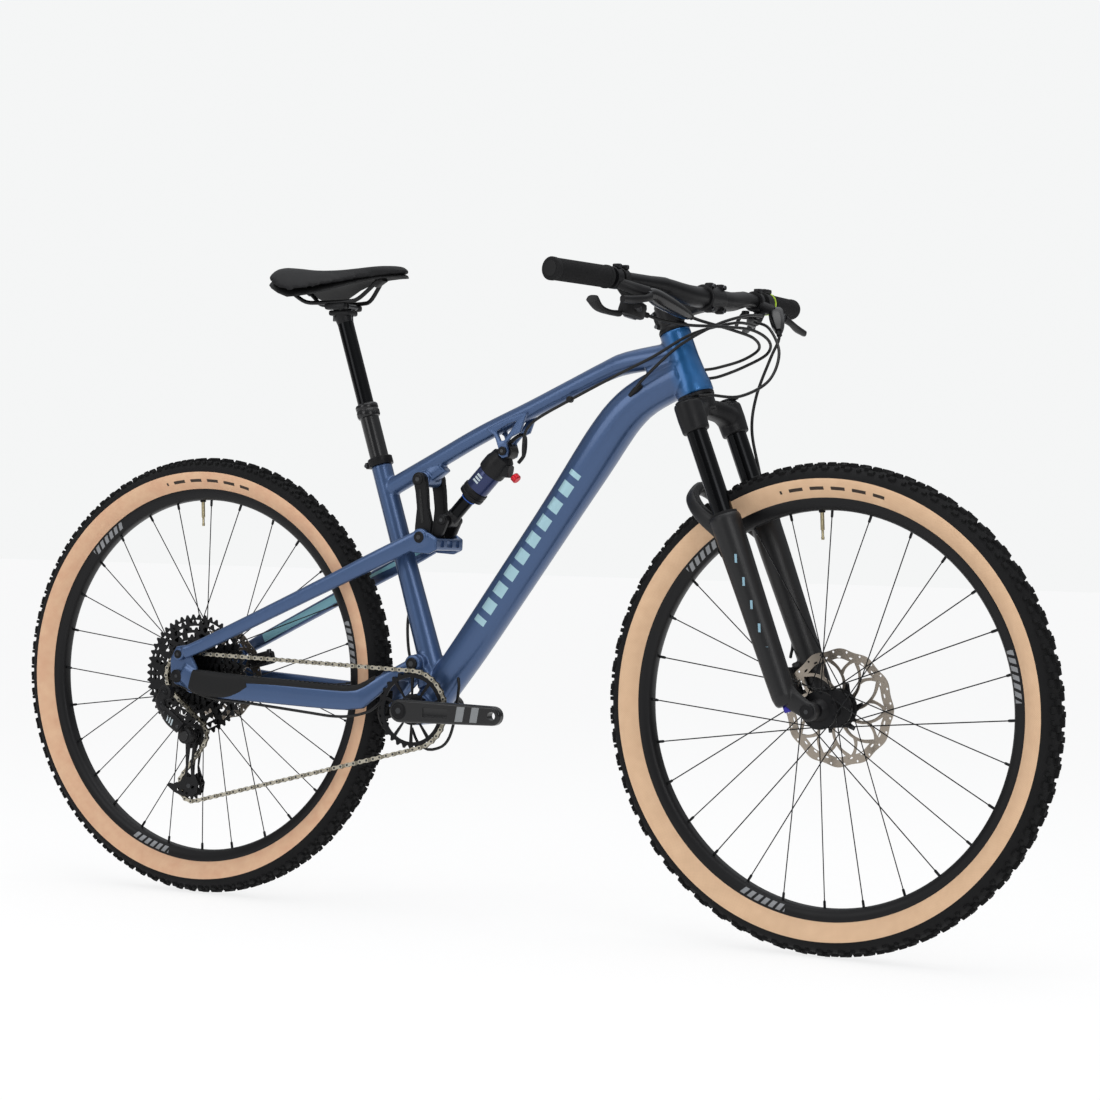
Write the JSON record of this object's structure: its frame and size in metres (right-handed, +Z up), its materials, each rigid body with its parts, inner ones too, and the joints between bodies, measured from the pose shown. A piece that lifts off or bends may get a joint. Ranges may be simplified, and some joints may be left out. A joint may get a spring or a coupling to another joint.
{
  "type": "mountain bike",
  "caption": "Full-suspension trail bike: hydroformed aluminium frame, swingarm with rocker-driven air shock, suspension fork, disc brakes, tan-wall 29 inch tyres and dropper post; no pedals",
  "frame": {"origin": "on the ground under the bike's bounding box, midway between the wheel axles", "axes": "+X forward, +Y to the rider's left, +Z up"},
  "size_m": [1.8832, 0.7872, 1.0596],
  "materials": {
    "frame_paint": "satin metallic blue paint on hydroformed aluminium",
    "black_anodised": "matte black anodised aluminium",
    "black_paint": "satin black paint on cast or forged metal",
    "black_steel": "black-oxide steel",
    "black_plastic": "moulded nylon",
    "grip_rubber": "dark grey ribbed rubber",
    "tyre_rubber": "black knobbed tread with tan woven sidewalls",
    "rotor_steel": "laser-cut stainless steel, warm grey",
    "chain_steel": "nickel-plated steel links",
    "violet_anodised": "violet-blue anodised knob",
    "red_anodised": "red anodised knob",
    "saddle_cover": "matte black synthetic cover over foam",
    "hose": "black polymer outer"
  },
  "bodies": {
    "frame": {"main_frame": "frame_paint", "headset_cover": "black_anodised", "seat_clamp": "black_anodised", "bottom_bracket": "black_anodised", "dropper_outer": "black_anodised", "main_pivot_axle": "black_anodised", "rocker_pivot_axle": "black_anodised", "rear_brake_hose": "hose", "shift_cable": "hose", "dropper_cable": "hose", "shock_cable": "hose"},
    "steering": {"fork_upper": "black_paint", "stem": "black_anodised", "handlebar": "black_anodised", "grip_right": "grip_rubber", "grip_left": "grip_rubber", "brake_master_right": "black_paint", "brake_master_left": "black_paint", "shifter_body": "black_plastic", "remote_body": "black_plastic", "front_brake_hose": "hose", "fork_lockout_cable": "hose"},
    "brake_lever_r": {"brake_lever_right": "black_anodised"},
    "brake_lever_l": {"brake_lever_left": "black_anodised"},
    "shift_paddle": {"shift_lever": "black_plastic"},
    "dropper_paddle": {"dropper_lever": "black_plastic"},
    "lockout_paddle": {"lockout_lever": "black_plastic"},
    "lowers": {"fork_lowers": "black_paint", "front_axle": "black_anodised", "front_caliper": "black_anodised"},
    "rebound_dial": {"rebound_knob": "violet_anodised"},
    "front_wheel": {"front_tyre": "tyre_rubber", "front_rim": "black_anodised", "front_hub": "black_anodised", "front_rotor": "rotor_steel"},
    "swingarm": {"chainstay": "frame_paint", "rear_axle": "black_anodised", "rear_caliper": "black_anodised", "derailleur_body": "black_plastic", "chain": "chain_steel"},
    "rear_wheel": {"rear_tyre": "tyre_rubber", "rear_rim": "black_anodised", "rear_hub": "black_anodised", "rear_rotor": "rotor_steel"},
    "freehub": {"cassette": "black_steel"},
    "derailleur_arm": {"derailleur_link": "black_plastic"},
    "cage": {"derailleur_cage": "black_steel"},
    "upper_jockey": {"jockey_upper": "black_plastic"},
    "lower_jockey": {"jockey_lower": "black_plastic"},
    "stays": {"seatstay": "frame_paint"},
    "rocker_link": {"rocker": "black_paint"},
    "shock_body": {"shock_can": "black_anodised"},
    "shock_rod": {"shock_shaft": "black_anodised"},
    "shock_dial": {"shock_knob": "red_anodised"},
    "saddle": {"seatpost_slider": "black_anodised", "saddle_rails": "black_steel", "saddle_shell": "black_plastic", "saddle_cover": "saddle_cover"},
    "cranks": {"crankset": "black_paint", "chainring": "black_steel"}
  },
  "joints": [
    {"name": "steering_turn", "type": "hinge", "parent": "frame", "child": "steering", "pos_m": [0.3383, 0, 0.8408], "axis": [-0.3665, 0, 0.9304], "range_deg": [-45, 50], "deforming": ["rear_brake_hose", "shift_cable", "dropper_cable", "shock_cable"]},
    {"name": "brake_right", "type": "hinge", "parent": "steering", "child": "brake_lever_r", "pos_m": [0.36633, -0.22074, 0.97019], "axis": [0, 0, -1], "range_deg": [0, 12], "stiffness_Nm_per_rad": 2, "springref_deg": -17.19},
    {"name": "brake_left", "type": "hinge", "parent": "steering", "child": "brake_lever_l", "pos_m": [0.38772, 0.21768, 0.97783], "axis": [0, 0, 1], "range_deg": [0, 12], "stiffness_Nm_per_rad": 2, "springref_deg": -17.19},
    {"name": "shift", "type": "hinge", "parent": "steering", "child": "shift_paddle", "pos_m": [0.3263, -0.19771, 0.95657], "axis": [0.2458, 0.1165, 0.9623], "range_deg": [0, 15], "stiffness_Nm_per_rad": 1, "springref_deg": -11.46},
    {"name": "dropper_press", "type": "hinge", "parent": "steering", "child": "dropper_paddle", "pos_m": [0.35163, 0.17141, 0.96701], "axis": [0, 0, -1], "range_deg": [0, 15], "stiffness_Nm_per_rad": 1, "springref_deg": -11.46},
    {"name": "lockout_press", "type": "hinge", "parent": "steering", "child": "lockout_paddle", "pos_m": [0.35794, 0.13289, 0.97834], "axis": [1, 0, 0], "range_deg": [0, 12], "stiffness_Nm_per_rad": 1, "springref_deg": -11.46},
    {"name": "fork_travel", "type": "slide", "parent": "steering", "child": "lowers", "axis": [-0.3665, 0, 0.9304], "range_m": [0, 0.1], "stiffness_N_per_m": 3000, "springref_m": -0.02, "deforming": ["front_brake_hose"]},
    {"name": "rebound_turn", "type": "hinge", "parent": "lowers", "child": "rebound_dial", "pos_m": [0.53247, -0.06557, 0.37624], "axis": [-0.3665, 0, 0.9304], "range_deg": [-150, 150]},
    {"name": "front_wheel_spin", "type": "hinge", "parent": "lowers", "child": "front_wheel", "pos_m": [0.57152, -0.00211, 0.37002], "axis": [0.0442, 0.9989, 0.0174], "continuous": true},
    {"name": "rear_travel", "type": "hinge", "parent": "frame", "child": "swingarm", "pos_m": [-0.1345, 0, 0.4085], "axis": [0, 1, 0], "range_deg": [0, 14], "stiffness_Nm_per_rad": 400, "springref_deg": -6.88, "deforming": ["chain", "shock_cable"]},
    {"name": "rear_wheel_spin", "type": "hinge", "parent": "swingarm", "child": "rear_wheel", "pos_m": [-0.5716, 0, 0.37], "axis": [0, 1, 0], "continuous": true},
    {"name": "freehub_spin", "type": "hinge", "parent": "swingarm", "child": "freehub", "pos_m": [-0.5716, 0, 0.37], "axis": [0, 1, 0], "continuous": true},
    {"name": "derailleur_shift", "type": "hinge", "parent": "swingarm", "child": "derailleur_arm", "pos_m": [-0.588, -0.092, 0.31], "axis": [1, 0, 0], "range_deg": [0, 8], "stiffness_Nm_per_rad": 1, "springref_deg": -11.46, "deforming": ["chain"]},
    {"name": "cage_swing", "type": "hinge", "parent": "derailleur_arm", "child": "cage", "pos_m": [-0.551, -0.0575, 0.271], "axis": [0, 1, 0], "range_deg": [-20, 15], "stiffness_Nm_per_rad": 1, "deforming": ["chain"]},
    {"name": "upper_jockey_spin", "type": "hinge", "parent": "cage", "child": "upper_jockey", "pos_m": [-0.551, -0.0575, 0.271], "axis": [0, 1, 0], "continuous": true},
    {"name": "lower_jockey_spin", "type": "hinge", "parent": "cage", "child": "lower_jockey", "pos_m": [-0.552, -0.0575, 0.186], "axis": [0, 1, 0], "continuous": true},
    {"name": "stay_swing", "type": "hinge", "parent": "swingarm", "child": "stays", "pos_m": [-0.5655, 0, 0.407], "axis": [0, 1, 0], "range_deg": [-3, 0]},
    {"name": "rocker_swing", "type": "hinge", "parent": "frame", "child": "rocker_link", "pos_m": [-0.137, 0, 0.706], "axis": [0, 1, 0], "range_deg": [-28.5, 0]},
    {"name": "shock_tilt", "type": "hinge", "parent": "frame", "child": "shock_body", "pos_m": [0.0095, 0, 0.753], "axis": [0, 1, 0], "range_deg": [-1, 0]},
    {"name": "shock_stroke", "type": "slide", "parent": "shock_body", "child": "shock_rod", "axis": [0.6839, 0, 0.7295], "range_m": [0, 0.038]},
    {"name": "shock_dial_turn", "type": "hinge", "parent": "shock_body", "child": "shock_dial", "pos_m": [0.02048, 0, 0.71411], "axis": [0.7311, 0, -0.6823], "range_deg": [0, 90]},
    {"name": "saddle_drop", "type": "slide", "parent": "frame", "child": "saddle", "axis": [-0.3142, 0, 0.9494], "range_m": [-0.1, 0], "stiffness_N_per_m": 200, "springref_m": 0.1},
    {"name": "crank_spin", "type": "hinge", "parent": "frame", "child": "cranks", "pos_m": [-0.128, 0, 0.335], "axis": [0, 1, 0], "continuous": true}
  ],
  "couplings": [
    {"joint": "stay_swing", "follows": "rear_travel", "ratio": -0.1887},
    {"joint": "rocker_swing", "follows": "rear_travel", "ratio": -1.9951},
    {"joint": "shock_tilt", "follows": "rear_travel", "ratio": -0.05918},
    {"joint": "shock_stroke", "follows": "rear_travel", "m_per_rad": 0.15224},
    {"joint": "freehub_spin", "follows": "crank_spin", "ratio": 1.7647},
    {"joint": "upper_jockey_spin", "follows": "crank_spin", "ratio": -2.5},
    {"joint": "lower_jockey_spin", "follows": "crank_spin", "ratio": 2.5}
  ]
}
